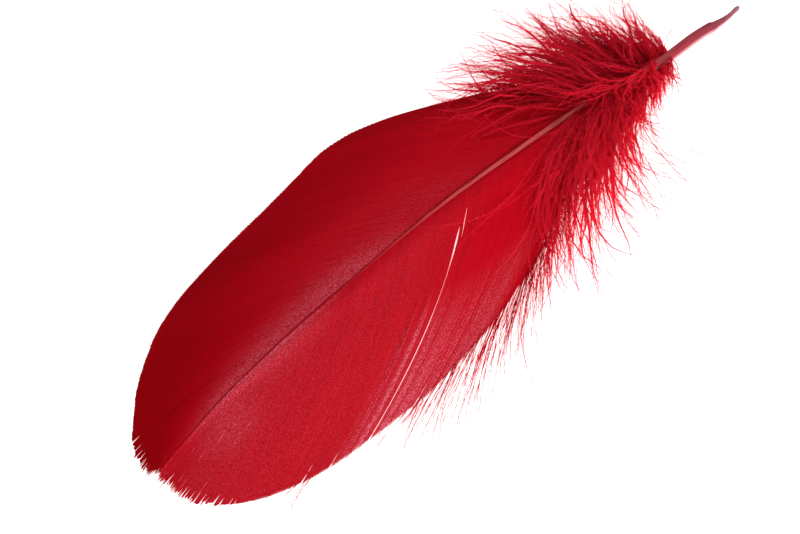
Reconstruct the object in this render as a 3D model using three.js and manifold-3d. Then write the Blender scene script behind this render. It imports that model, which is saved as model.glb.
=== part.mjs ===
// A goose feather lying back-up on a flat surface: its shaft, two vanes and the down at its base.
// The shaft arches over the ground, each vane falls from it to the ground, and the feather rests on the
// vanes' edges, the underside of the down and the end of the quill.

import * as THREE from 'three';
import { mergeVertices } from 'three/addons/utils/BufferGeometryUtils.js';
import Module from 'manifold-3d';

const wasm = await Module();
wasm.setup();

const { lerp, degToRad } = THREE.MathUtils;
const LEFT = 1;
const RIGHT = -1;

// Driving dimensions, in millimetres. A place on the feather is [s, y]: s runs straight from the quill's
// end to the tip, and y is sideways. The left vane, on +y, is on the left when one looks from the tip
// towards the quill.
const LENGTH = 172;
const SHAFT_END = 171.5;
const SHAFT_ARCH = 7.5;
const SHAFT_END_HEIGHT = 0.6;
const VANE_THICKNESS = 0.5;
const VANE_CROWN = 0.8;
const CLEARANCE = 0.35;

// The barbs, which give a vane its grid: each leaves the shaft more steeply than it runs on the whole, and
// bends towards the tip over the first part of its length.
const BARB_LEAN = degToRad(14);
const BARB_BEND_AT = 0.45;
const LAST_BARB_ROOT = 170.5;
const FIRST_BARB_ROOT = { [LEFT]: 41.5, [RIGHT]: 45 };
const TIP_SPREAD = 1.8; // tips stand further apart than roots near the base, and closer at the apex
const EDGE_FALL = 1.5; // a vane falls slowly beside the shaft and faster towards its edge

// The split in the right vane, which follows a barb from near the shaft to the edge.
const SPLIT_BARB = 0.279;
const SPLIT_START = 0.1;
const SPLIT_PAST_EDGE = 1.08;
const SPLIT_DEPTH = 6;
const SPLIT_WIDTH = [[0.1, 0.1], [0.25, 0.9], [0.4, 0.7], [0.7, 0.35], [1.08, 0.35]];

// The down: it springs from the shaft between the quill and the first barbs of the vane.
const DOWN_FROM = 23;
const DOWN_RISE = 2.2; // above the middle of the shaft
const DOWN_CROWN = 1.5;
const DOWN_RIM = 0.5;
const DOWN_ALONG_BARB = { [LEFT]: 0.62, [RIGHT]: 1 }; // how far it follows the vane's first barb
const FRINGE_ALONG_EDGE = 0.21; // how far on the loose barbs go along the right vane's edge
const FRINGE_HEIGHT = 1.8;
const TUFTS = 6;
const TUFT_DEPTH = 0.05;

// How finely each piece is divided.
const SHAFT_SIDES = 12;
const SHAFT_STEPS = 48;
const SHAFT_CROWDING = 1.5; // steps are shorter towards the quill's end, where the sheath is stepped
const VANE_STEPS = [44, 8];
const DOWN_STEPS = {
  [LEFT]: { shaft: 5, barb: 12, edge: 0 },
  [RIGHT]: { shaft: 5, barb: 12, edge: 8 },
};
const DOWN_STEPS_ACROSS = 6;

const SHAFT_LINE = [
  [0, -2.8], [4, -3.2], [13, -2.5], [23, -2.4], [45, 0.4], [65, 1.7], [88, 2.8], [111, 2.6],
  [134, 2.2], [152, 1], [163, -0.6], [SHAFT_END, -2.1],
];
const SHAFT_DIAMETER = [
  [0, 0.9], [1, 1.1], [3, 0.95], [5, 1.2], [7, 1.9], [8, 2.4], [13, 2.65], [20, 2.7], [26, 2.4],
  [34, 1.7], [45, 1.15], [60, 1], [75, 0.85], [88, 0.7], [105, 0.52], [120, 0.42], [140, 0.34],
  [SHAFT_END, 0.3],
];
const VANE_EDGE = {
  [LEFT]: [
    [91, 31.9], [104, 31.5], [114, 30.3], [128, 28.7], [140, 26.8], [148, 24.7], [155, 21.5],
    [162.6, 16.3], [168, 11], [171.6, 6.7], [173.2, 2], [172.6, -1.7],
  ],
  [RIGHT]: [
    [92.5, -22.9], [103, -24.8], [118, -26.1], [134, -25.6], [144, -24.6], [151, -23.1],
    [157.5, -20.8], [163.2, -17.7], [167.5, -13.9], [170, -10.1], [171.4, -6], [172.2, -2.9],
  ],
};
const DOWN_TIPS = {
  [LEFT]: [
    [21.5, 1], [19.5, 8], [21, 14], [23, 20.5], [28, 27], [35, 31], [43, 32.6], [50, 32], [57, 30.5],
    [64, 28.5], [69, 27],
  ],
  [RIGHT]: [
    [22, -4.6], [27.5, -8], [33, -11], [38, -18], [41, -28], [45, -42.5], [52, -38], [59, -34],
    [66, -34.5], [73, -38], [81, -39.5], [90, -42.5], [98, -40], [104, -36.8], [112, -32.6],
    [121, -29.3], [129, -27],
  ],
};

// A smooth function of one value, through a list of [value, result].
function through(pairs) {
  const curve = new THREE.CubicInterpolant(pairs.map((p) => p[0]), pairs.map((p) => p[1]), 1);
  return (at) => curve.evaluate(at)[0];
}

function spline(places) {
  return new THREE.SplineCurve(places.map((place) => new THREE.Vector2(...place)));
}

const shaftSideways = through(SHAFT_LINE);
const shaftDiameter = through(SHAFT_DIAMETER);
const splitWidth = through(SPLIT_WIDTH);

function shaftHeight(s) {
  const along = s / LENGTH;
  return SHAFT_END_HEIGHT + SHAFT_ARCH * 4 * along * (1 - along);
}

// The place beside the shaft where a piece on one side of it starts.
function besideShaft(side, s) {
  return new THREE.Vector2(s, shaftSideways(s) + side * (shaftDiameter(s) / 2 + CLEARANCE));
}

function closedSolid(geometry) {
  geometry.deleteAttribute('normal');
  geometry.deleteAttribute('uv');
  const merged = mergeVertices(geometry, 1e-4);
  const at = merged.getAttribute('position');
  const index = merged.getIndex();
  const corners = [0, 1, 2].map(() => new THREE.Vector3());
  let volume = 0;
  for (let i = 0; i < index.count; i += 3) {
    corners.forEach((corner, k) => corner.fromBufferAttribute(at, index.getX(i + k)));
    volume += corners[0].dot(corners[1].clone().cross(corners[2]));
  }
  if (volume < 0) {
    index.array.reverse();
  }
  return new wasm.Manifold(new wasm.Mesh({
    numProp: 3,
    vertProperties: new Float32Array(at.array),
    triVerts: new Uint32Array(index.array),
  }));
}

// Bends a unit primitive: place gives [s, y, z] for each of its points. The quill's end is towards +X.
function bend(primitive, place) {
  const at = primitive.getAttribute('position');
  for (let i = 0; i < at.count; i += 1) {
    const [s, y, z] = place(at.getX(i), at.getY(i), at.getZ(i));
    at.setXYZ(i, -s, y, z);
  }
  return closedSolid(primitive);
}

function unitBox(along, across) {
  return new THREE.BoxGeometry(1, 1, 1, along, across, 1);
}

function makeShaft() {
  const rod = new THREE.CylinderGeometry(1, 1, 1, SHAFT_SIDES, SHAFT_STEPS);
  return bend(rod, (x, along, z) => {
    const s = SHAFT_END * (along + 0.5) ** SHAFT_CROWDING;
    const radius = shaftDiameter(s) / 2;
    return [s, shaftSideways(s) + x * radius, shaftHeight(s) + z * radius];
  });
}

// A vane as a function of t, from its first barb to its last, and w, from a barb's root to its tip.
function vaneSurface(side) {
  const edge = spline(VANE_EDGE[side]);
  return (t, w) => {
    const root = besideShaft(side, lerp(FIRST_BARB_ROOT[side], LAST_BARB_ROOT, t));
    const tip = edge.getPointAt(1 - (1 - t) ** TIP_SPREAD);
    const reach = tip.clone().sub(root);
    const angle = Math.atan2(reach.y, reach.x) + side * BARB_LEAN;
    const bendPoint = new THREE.Vector2(Math.cos(angle), Math.sin(angle))
      .multiplyScalar(BARB_BEND_AT * reach.length())
      .add(root);
    const place = new THREE.QuadraticBezierCurve(root, bendPoint, tip).getPoint(w);
    const fallen = lerp(shaftHeight(root.x), VANE_THICKNESS / 2, w ** EDGE_FALL);
    return [place.x, place.y, fallen + VANE_CROWN * Math.sin(Math.PI * w) * (1 - t)];
  };
}

function makeVane(side) {
  const surface = vaneSurface(side);
  return bend(unitBox(...VANE_STEPS), (x, y, z) => {
    const [s, sideways, middle] = surface(x + 0.5, y + 0.5);
    return [s, sideways, middle + z * VANE_THICKNESS];
  });
}

// The wedge of air in the split, as wide as splitWidth gives and standing through the vane.
function makeSplit(side) {
  const surface = vaneSurface(side);
  return bend(unitBox(VANE_STEPS[1], 1), (x, y, z) => {
    const w = lerp(SPLIT_START, SPLIT_PAST_EDGE, x + 0.5);
    const [s, sideways, middle] = surface(SPLIT_BARB, w);
    return [s + y * splitWidth(w), sideways + side * y * splitWidth(w), middle + z * SPLIT_DEPTH];
  });
}

// The line that the down starts from: along the shaft, then just outside the vane's first barb, and on the
// right side on along the vane's edge, where loose barbs hang free. Each place has the down's height there.
function downRoots(side) {
  const surface = vaneSurface(side);
  const besideVane = ([s, y], height) => [s - CLEARANCE, y + side * CLEARANCE, height];
  const steps = DOWN_STEPS[side];
  const firstBarb = FIRST_BARB_ROOT[side];
  const highest = shaftHeight(firstBarb) + DOWN_RISE;
  const roots = [];
  for (let i = 0; i <= steps.shaft; i += 1) {
    const beside = besideShaft(side, lerp(DOWN_FROM, firstBarb - CLEARANCE, i / steps.shaft));
    roots.push([beside.x, beside.y, shaftHeight(beside.x) + DOWN_RISE]);
  }
  for (let i = 1; i <= steps.barb; i += 1) {
    const w = (DOWN_ALONG_BARB[side] * i) / steps.barb;
    roots.push(besideVane(surface(0, w), lerp(highest, FRINGE_HEIGHT, w)));
  }
  for (let i = 1; i <= steps.edge; i += 1) {
    const along = i / steps.edge;
    roots.push(besideVane(surface(FRINGE_ALONG_EDGE * along, 1), lerp(FRINGE_HEIGHT, DOWN_RIM, along)));
  }
  return roots;
}

function makeDown(side) {
  const roots = downRoots(side);
  const tips = spline(DOWN_TIPS[side]);
  const steps = roots.length - 1;
  return bend(unitBox(steps, DOWN_STEPS_ACROSS), (x, y, z) => {
    const [along, w] = [x + 0.5, y + 0.5];
    const [rootS, rootY, rootZ] = roots[Math.round(along * steps)];
    const tip = tips.getPointAt(along);
    const tuft = 1 - TUFT_DEPTH * (1 - Math.cos(2 * Math.PI * TUFTS * along));
    const crown = DOWN_CROWN * Math.sin(Math.PI * w) * (1 - along);
    const top = lerp(rootZ, DOWN_RIM, w ** EDGE_FALL) + crown;
    return [lerp(rootS, tip.x, w * tuft), lerp(rootY, tip.y, w * tuft), (z + 0.5) * top];
  });
}

function addPiece(feather, name, solid, color, roughness) {
  const { vertProperties, triVerts } = solid.getMesh();
  const geometry = new THREE.BufferGeometry();
  geometry.setAttribute('position', new THREE.BufferAttribute(new Float32Array(vertProperties), 3));
  geometry.setIndex(new THREE.BufferAttribute(new Uint32Array(triVerts), 1));
  geometry.computeVertexNormals();
  const mesh = new THREE.Mesh(geometry, new THREE.MeshStandardMaterial({ color, roughness, metalness: 0 }));
  mesh.name = name;
  feather.add(mesh);
}

const feather = new THREE.Group();
addPiece(feather, 'shaft', makeShaft(), 0xb25560, 0.4);
addPiece(feather, 'vane_left', makeVane(LEFT), 0x9a0a18, 0.6);
addPiece(feather, 'vane_right', makeVane(RIGHT).subtract(makeSplit(RIGHT)), 0xb9142a, 0.6);
addPiece(feather, 'down_left', makeDown(LEFT), 0xbe1a28, 0.9);
addPiece(feather, 'down_right', makeDown(RIGHT), 0xbe1a28, 0.9);

// The origin is the middle of the ground that the feather covers.
const box = new THREE.Box3().setFromObject(feather);
const middle = box.getCenter(new THREE.Vector3());
feather.position.set(-middle.x, -middle.y, -box.min.z);

export default feather;
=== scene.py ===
"""Goose feather: the barbs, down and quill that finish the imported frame, and the stage they lie on."""

import math

import bpy
import numpy as np
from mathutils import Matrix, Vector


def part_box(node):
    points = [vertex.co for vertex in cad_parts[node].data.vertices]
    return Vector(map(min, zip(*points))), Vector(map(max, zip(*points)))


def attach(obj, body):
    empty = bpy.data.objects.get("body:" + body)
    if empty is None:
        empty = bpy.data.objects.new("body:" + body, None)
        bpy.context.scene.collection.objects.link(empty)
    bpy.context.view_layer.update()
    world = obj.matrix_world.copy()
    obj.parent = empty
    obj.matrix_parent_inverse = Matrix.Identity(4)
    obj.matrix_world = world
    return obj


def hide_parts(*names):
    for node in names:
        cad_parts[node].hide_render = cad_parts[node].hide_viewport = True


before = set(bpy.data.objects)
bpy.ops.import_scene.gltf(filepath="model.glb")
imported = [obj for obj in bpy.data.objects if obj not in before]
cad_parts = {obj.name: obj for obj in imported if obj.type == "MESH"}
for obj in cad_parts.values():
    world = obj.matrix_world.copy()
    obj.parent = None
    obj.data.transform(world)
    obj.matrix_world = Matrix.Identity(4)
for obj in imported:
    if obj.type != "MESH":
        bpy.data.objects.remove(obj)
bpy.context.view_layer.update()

bl_info = {
    "name": "Goose feather",
    "version": (1, 0, 0),
    "blender": (4, 5, 0),
    "location": "View3D > Sidebar > Feather",
    "description": "Grows a goose feather's barbs and down round its frame",
    "category": "Add Mesh",
}

MM = 0.001
LEFT = 1
RIGHT = -1
SIDE_NAMES = {LEFT: "left", RIGHT: "right"}

# ---------------------------------------------------------------- the feather's plan, in millimetres
# A place is (s, y, z): s runs straight from the quill's end to the tip, y is sideways with the left
# vane on +y, and z is the height above the ground.
LENGTH = 172.0
SHAFT_END = 171.5
SHAFT_ARCH = 7.5
SHAFT_END_HEIGHT = 0.6
VANE_CROWN = 0.8
EDGE_HEIGHT = 0.3
EDGE_FALL = 1.5
BARB_LEAN = math.radians(14)
BARB_BEND_AT = 0.45  # share of a barb at which it bends towards the tip
FIRST_BARB_ROOT = {LEFT: 41.5, RIGHT: 45.0}
LAST_BARB_ROOT = 170.8
TIP_SPREAD = 1.8  # how strongly the barbs' tips fan out towards the feather's tip
LOW_TIPS = {LEFT: 0.18, RIGHT: 0.0}  # share of the vane's edge that its lowest barbs reach
ROOT_ASIDE = 0.12  # how far from the shaft's middle the barbs start, in its diameters
SHARP = math.radians(80)  # edges that turn by more than this stay crisp
LYING = 0.2  # the height at which strands lie on the ground
GROUND_GAP = 0.02  # what would pass through the ground lies this far above it
GLINT_SIZE = 0.28  # from one glint of tangled barbules to the next
BARBULE_PITCH = 0.24  # the real pitch is near 0.03, too fine to show
BARBULE_SLANT = 0.24  # how far a barbule runs along its barb on its way to the next one
BARB_RELIEF = 0.035  # height of the bump that barbules make
QUILL_STREAK = 0.7  # width of the streaks in the quill's horn
QUILL_RELIEF = 0.05

SHAFT_LINE = [
    (0, -2.8), (4, -3.2), (13, -2.5), (23, -2.4), (45, 0.4), (65, 1.7), (88, 2.8), (111, 2.6),
    (134, 2.2), (152, 1), (163, -0.6), (SHAFT_END, -2.1),
]
SHAFT_DIAMETER = [
    (0, 0.8), (0.7, 1.15), (2.4, 1.1), (4.2, 1.3), (6, 1.65), (8, 2.05), (9.2, 2.35), (13, 2.6),
    (20, 2.6), (26, 2.35), (34, 1.75), (45, 1.3), (60, 1.1), (75, 0.92), (88, 0.78), (105, 0.62),
    (120, 0.52), (140, 0.42), (SHAFT_END, 0.2),
]
VANE_EDGE = {
    LEFT: [
        (70, 24.6), (79, 28.6), (87, 31.2), (92.5, 32.2), (98.5, 32.4), (107, 31.2), (114, 30.3),
        (128, 28.7), (140, 26.8), (148, 24.7), (155, 21.5), (162.6, 16.3), (168, 11), (171.6, 6.7),
        (173.2, 2), (172.6, -2.0),
    ],
    RIGHT: [
        (92.5, -22.9), (103, -24.8), (118, -26.1), (134, -25.6), (144, -24.6), (151, -23.1),
        (157.5, -20.8), (163.2, -17.7), (167.5, -13.9), (170, -10.1), (171.4, -6), (172.2, -2.6),
    ],
}
# How the down flows: (root on the shaft, direction there, turn on the way, length), with directions in
# degrees from the feather's length towards +y.
DOWN_FLOW = {
    LEFT: [(22.8, 118, -30, 7), (25, 110, -28, 14), (29, 98, -26, 24), (35, 82, -28, 31),
           (41, 62, -24, 36), (47, 42, -20, 39)],
    RIGHT: [(22.8, -48, 14, 6), (25, -48, 16, 9), (29, -44, 6, 15), (34, -38, -4, 26),
            (40, -35, -14, 39), (47, -29, -20, 50)],
}


def through(pairs):
    """A smooth function of one value through a list of (value, result)."""
    at, results = np.array(pairs, float).T
    slopes = np.gradient(results, at)

    def evaluate(value):
        value = np.clip(value, at[0], at[-1])
        k = np.clip(np.searchsorted(at, value, side="right") - 1, 0, len(at) - 2)
        step = at[k + 1] - at[k]
        u = (value - at[k]) / step
        rise = u * u * (3 - 2 * u)
        bend = u * (1 - u) * step
        return (1 - rise) * results[k] + rise * results[k + 1] + bend * (
            (1 - u) * slopes[k] - u * slopes[k + 1]
        )

    return evaluate


def spline(places, steps=40):
    """A smooth curve through places, as a function of the share of its length."""
    places = np.array(places, float)
    ends = np.vstack([2 * places[:1] - places[1:2], places, 2 * places[-1:] - places[-2:-1]])
    u = np.arange(steps)[:, None] / steps
    runs = []
    for a, b, c, d in zip(ends, ends[1:], ends[2:], ends[3:]):
        bend = 2 * a - 5 * b + 4 * c - d + u * (3 * (b - c) + d - a)
        runs.append(b + 0.5 * u * (c - a + u * bend))
    curve = np.vstack(runs + [places[-1:]])
    length = np.concatenate([[0], np.cumsum(np.linalg.norm(np.diff(curve, axis=0), axis=1))])
    share = length / length[-1]
    return lambda at: np.stack([np.interp(at, share, curve[:, k]) for k in (0, 1)], -1)


shaft_sideways = through(SHAFT_LINE)
shaft_diameter = through(SHAFT_DIAMETER)


def shaft_height(s):
    along = s / LENGTH
    return SHAFT_END_HEIGHT + SHAFT_ARCH * 4 * along * (1 - along)


def on_shaft(s, aside, up):
    """Places beside the shaft's middle line at s, as (..., s y z)."""
    return np.stack([s, shaft_sideways(s) + aside, shaft_height(s) + up], -1)


def frame_shift():
    """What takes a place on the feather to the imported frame: where s 0, y 0 lies there."""
    low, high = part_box("shaft")
    s = np.linspace(0, SHAFT_END, 400)
    lowest = (shaft_sideways(s) - shaft_diameter(s) / 2).min()
    return np.array([high.x / MM, low.y / MM - lowest, 0.0])


SHIFT = frame_shift()


def in_frame(places):
    """(s, y, z) in millimetres to the frame's metres, where the quill points to +X."""
    places = np.asarray(places, float)
    return (places * (-1, 1, 1) + SHIFT) * MM


def fade(value, start, end):
    """0 up to start and 1 from end on, with a straight rise between them."""
    return np.clip((value - start) / (end - start), 0, 1)


def hump(value, middle, width):
    """A smooth hump 1 high round the middle."""
    return np.exp(-(((value - middle) / width) ** 2))


def smooth_noise(rng, count, waves):
    """A wandering value of about -1 to 1 for each of count neighbours."""
    at = np.linspace(0, 1, count)
    total = np.zeros(count)
    for k in range(1, waves + 1):
        total += rng.normal() * np.sin(2 * math.pi * (k * at + rng.random())) / math.sqrt(k)
    return total / max(1e-9, np.abs(total).max())


# ---------------------------------------------------------------- nodes and meshes


def linear(hex_colour):
    """An sRGB hex value as linear red, green and blue, with an alpha of 1."""
    parts = [int(hex_colour[k : k + 2], 16) / 255 for k in (1, 3, 5)]
    return (*(c / 12.92 if c <= 0.04045 else ((c + 0.055) / 1.055) ** 2.4 for c in parts), 1.0)


def add(tree, kind, inputs=None, out=0, **settings):
    """Adds a node with its settings and gives back one of its outputs. inputs has each socket's value,
    or the socket that it links from."""
    node = tree.nodes.new(kind)
    for name, value in settings.items():
        setattr(node, name, value)
    for name, value in (inputs or {}).items():
        if isinstance(value, bpy.types.NodeSocket):
            tree.links.new(value, node.inputs[name])
        else:
            node.inputs[name].default_value = value
    return node.outputs[out] if len(node.outputs) else None


def new_material(name):
    material = bpy.data.materials.new(name)
    material.use_nodes = True
    material.node_tree.nodes.clear()
    return material, material.node_tree


def new_object(name, data):
    piece = bpy.data.objects.new(name, data)
    bpy.context.scene.collection.objects.link(piece)
    return piece


def new_tree(name, sockets):
    """An empty Geometry Nodes tree with a geometry in and out, and these named inputs."""
    tree = bpy.data.node_groups.new(name, "GeometryNodeTree")
    tree.interface.new_socket("Geometry", in_out="OUTPUT", socket_type="NodeSocketGeometry")
    tree.interface.new_socket("Geometry", in_out="INPUT", socket_type="NodeSocketGeometry")
    for socket, kind in sockets.items():
        tree.interface.new_socket(socket, in_out="INPUT", socket_type=f"NodeSocket{kind}")
    return tree, tree.nodes.new("NodeGroupInput").outputs


def store(mesh, values):
    """Keeps named values for each point of a mesh, which trees and materials read."""
    for name, value in values.items():
        layer = mesh.attributes.new(name, "FLOAT", "POINT")
        layer.data.foreach_set("value", np.ascontiguousarray(value, np.float32).ravel())


def points_of(mesh):
    places = np.empty(len(mesh.vertices) * 3, np.float32)
    mesh.vertices.foreach_get("co", places)
    return places.reshape(-1, 3)


def guide_lines(name, lines, **values):
    """A mesh of open lines, one for each row of lines, with the named values at their points."""
    count, points = lines.shape[:2]
    mesh = bpy.data.meshes.new(name)
    first = np.arange(count)[:, None] * points + np.arange(points - 1)
    edges = np.stack([first, first + 1], -1).reshape(-1, 2)
    mesh.from_pydata(in_frame(lines.reshape(-1, 3)), edges, [])
    store(mesh, {key: np.broadcast_to(value, (count, points)) for key, value in values.items()})
    return new_object(name, mesh)


def grow(guides, tree, inputs):
    """Runs a tree over guide lines and leaves its result as the object's plain mesh."""
    modifier = guides.modifiers.new("grow", "NODES")
    modifier.node_group = tree
    for socket in tree.interface.items_tree:
        if socket.in_out == "INPUT" and socket.name in inputs:
            modifier[socket.identifier] = inputs[socket.name]
    depsgraph = bpy.context.evaluated_depsgraph_get()
    mesh = bpy.data.meshes.new_from_object(
        guides.evaluated_get(depsgraph), preserve_all_data_layers=True, depsgraph=depsgraph
    )
    guides.modifiers.remove(modifier)
    lines = guides.data
    guides.data = mesh
    bpy.data.meshes.remove(lines)
    mesh.name = guides.name


def map_from_above(piece):
    """Gives a piece a UV map seen from straight above, so that a baked pattern stays whole."""
    mesh = piece.data
    places = points_of(mesh)[:, :2]
    low, high = places.min(0), places.max(0)
    corners = np.empty(len(mesh.loops), np.int32)
    mesh.loops.foreach_get("vertex_index", corners)
    layer = mesh.uv_layers.new(name="OFBake")
    flat = ((places - low) / (high - low).max() * 0.98 + 0.01)[corners]
    layer.uv.foreach_set("vector", np.ascontiguousarray(flat, np.float32).ravel())


def declare(piece, node):
    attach(piece, "root")
    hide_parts(node)


# ---------------------------------------------------------------- Geometry Nodes trees


def swept(tree, curve, profile):
    """Sweeps a profile along curves, as thick as their points state, and closed at both ends."""
    girth = add(tree, "GeometryNodeInputNamedAttribute", {"Name": "girth"}, "Attribute")
    return add(
        tree, "GeometryNodeCurveToMesh",
        {"Curve": curve, "Profile Curve": profile, "Scale": girth, "Fill Caps": True},
    )


def guide_curves(tree, given):
    """The guide lines as curves that keep level, with the roll that their points state."""
    curve = add(tree, "GeometryNodeMeshToCurve", {"Mesh": given["Geometry"]})
    curve = add(tree, "GeometryNodeSetCurveNormal", {"Curve": curve}, mode="Z_UP")
    roll = add(tree, "GeometryNodeInputNamedAttribute", {"Name": "roll"}, "Attribute")
    return add(tree, "GeometryNodeSetCurveTilt", {"Curve": curve, "Tilt": roll})


def finish_tree(tree, geometry, material):
    """Every tree ends like this: no instances left, smooth between sharp edges, and in its material."""
    geometry = add(tree, "GeometryNodeRealizeInstances", {"Geometry": geometry})
    geometry = add(tree, "GeometryNodeSetShadeSmooth", {"Geometry": geometry})
    angle = add(tree, "GeometryNodeInputMeshEdgeAngle", out="Unsigned Angle")
    sharp = add(tree, "ShaderNodeMath", {0: angle, 1: SHARP}, operation="GREATER_THAN")
    geometry = add(
        tree, "GeometryNodeSetShadeSmooth",
        {"Geometry": geometry, "Selection": sharp, "Shade Smooth": False}, domain="EDGE",
    )
    geometry = add(tree, "GeometryNodeSetMaterial", {"Geometry": geometry, "Material": material})
    add(tree, "NodeGroupOutput", {"Geometry": geometry})


def barb_tree():
    """Sweeps a barb's section along each guide line: a raised rib with a thin shelf of barbules on each
    side, one side higher than the other so that each barb lies over the next."""
    tree, given = new_tree("Barbs", {
        "Half Width": "Float", "Rib Height": "Float", "Keel Depth": "Float", "Shelf Lift": "Float",
        "Material": "Material",
    })
    circle = add(tree, "GeometryNodeCurvePrimitiveCircle", {"Resolution": 8, "Radius": 1.0})
    place = add(tree, "GeometryNodeInputPosition")
    x = add(tree, "ShaderNodeSeparateXYZ", {0: place}, "X")
    y = x.node.outputs["Y"]
    # The circle's points are drawn in towards its axes, which makes a star of four points.
    drawn = []
    for axis, power in ((x, 4.0), (y, 3.0)):
        size = add(tree, "ShaderNodeMath", {0: axis}, operation="ABSOLUTE")
        drawn.append(add(tree, "ShaderNodeMath", {0: size, 1: power}, operation="POWER"))
    inwards = add(tree, "ShaderNodeMath", {0: x, 1: drawn[0]}, operation="MULTIPLY")
    across, lift, above, below = (
        add(tree, "ShaderNodeMath", {0: share, 1: given[size]}, operation="MULTIPLY")
        for share, size in (
            (inwards, "Half Width"), (inwards, "Shelf Lift"), (drawn[1], "Rib Height"),
            (drawn[1], "Keel Depth"),
        )
    )
    below = add(tree, "ShaderNodeMath", {0: below, 1: -1.0}, operation="MULTIPLY")
    is_above = add(tree, "ShaderNodeMath", {0: y, 1: 0.0}, operation="LESS_THAN")
    height = add(
        tree, "GeometryNodeSwitch", {"Switch": is_above, "False": below, "True": above},
        input_type="FLOAT",
    )
    for operation, value in (("ADD", lift), ("MULTIPLY", -1.0)):
        height = add(tree, "ShaderNodeMath", {0: height, 1: value}, operation=operation)
    section = add(tree, "ShaderNodeCombineXYZ", {"X": across, "Y": height})
    marked = add(
        tree, "GeometryNodeStoreNamedAttribute",
        {"Geometry": circle, "Name": "across", "Value": inwards},
    )
    profile = add(tree, "GeometryNodeSetPosition", {"Geometry": marked, "Position": section})
    finish_tree(tree, swept(tree, guide_curves(tree, given), profile), given["Material"])
    return tree


def down_tree():
    """Gives each guide line a fine stem, and barbules that spring from it all round."""
    tree, given = new_tree("Down", {
        "Stem Radius": "Float", "Barbule Spacing": "Float", "Barbule Length": "Float",
        "Barbule Radius": "Float", "Splay": "Float", "Seed": "Int", "Material": "Material",
        "Stem Sides": "Int", "Flatness": "Float",
    })
    curve = guide_curves(tree, given)
    circle = add(
        tree, "GeometryNodeCurvePrimitiveCircle",
        {"Resolution": given["Stem Sides"], "Radius": given["Stem Radius"]},
    )
    wider = add(tree, "ShaderNodeCombineXYZ", {"X": given["Flatness"], "Y": 1.0, "Z": 1.0})
    profile = add(tree, "GeometryNodeTransform", {"Geometry": circle, "Scale": wider})
    stems = swept(tree, curve, profile)
    points = add(
        tree, "GeometryNodeCurveToPoints", {"Curve": curve, "Length": given["Barbule Spacing"]},
        "Points", mode="LENGTH",
    )
    barbule = add(
        tree, "GeometryNodeMeshCone",
        {"Vertices": 3, "Radius Top": 0.0, "Radius Bottom": given["Barbule Radius"],
         "Depth": given["Barbule Length"]},
    )
    # Each barbule turns round its stem, leans away from it and has its own length.
    drawn = []
    for seed, (low, high) in enumerate([(0.0, 2 * math.pi), (0.5, 1.4), (0.45, 1.1)], 1):
        shifted = add(tree, "ShaderNodeMath", {0: given["Seed"], 1: float(seed)}, operation="ADD")
        drawn.append(add(tree, "FunctionNodeRandomValue", {2: low, 3: high, "Seed": shifted}, 1))
    turn, lean, size = drawn
    lean = add(tree, "ShaderNodeMath", {0: lean, 1: given["Splay"]}, operation="MULTIPLY")
    rotation = points.node.outputs["Rotation"]
    for axis, angle in (("Z", turn), ("X", lean)):
        turned = add(tree, "ShaderNodeCombineXYZ", {axis: angle})
        by = add(tree, "FunctionNodeEulerToRotation", {0: turned})
        rotation = add(
            tree, "FunctionNodeRotateRotation", {"Rotation": rotation, "Rotate By": by},
            rotation_space="LOCAL",
        )
    plume = add(tree, "GeometryNodeInputNamedAttribute", {"Name": "plume"}, "Attribute")
    length = add(tree, "ShaderNodeMath", {0: plume, 1: size}, operation="MULTIPLY")
    scale = add(tree, "ShaderNodeCombineXYZ", {"X": 1.0, "Y": 1.0, "Z": length})
    barbules = add(
        tree, "GeometryNodeInstanceOnPoints",
        {"Points": points, "Instance": barbule, "Rotation": rotation, "Scale": scale},
    )
    both = add(tree, "GeometryNodeJoinGeometry", {0: stems})
    tree.links.new(barbules, both.node.inputs[0])
    finish_tree(tree, both, given["Material"])
    return tree


# ---------------------------------------------------------------- materials


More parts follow.
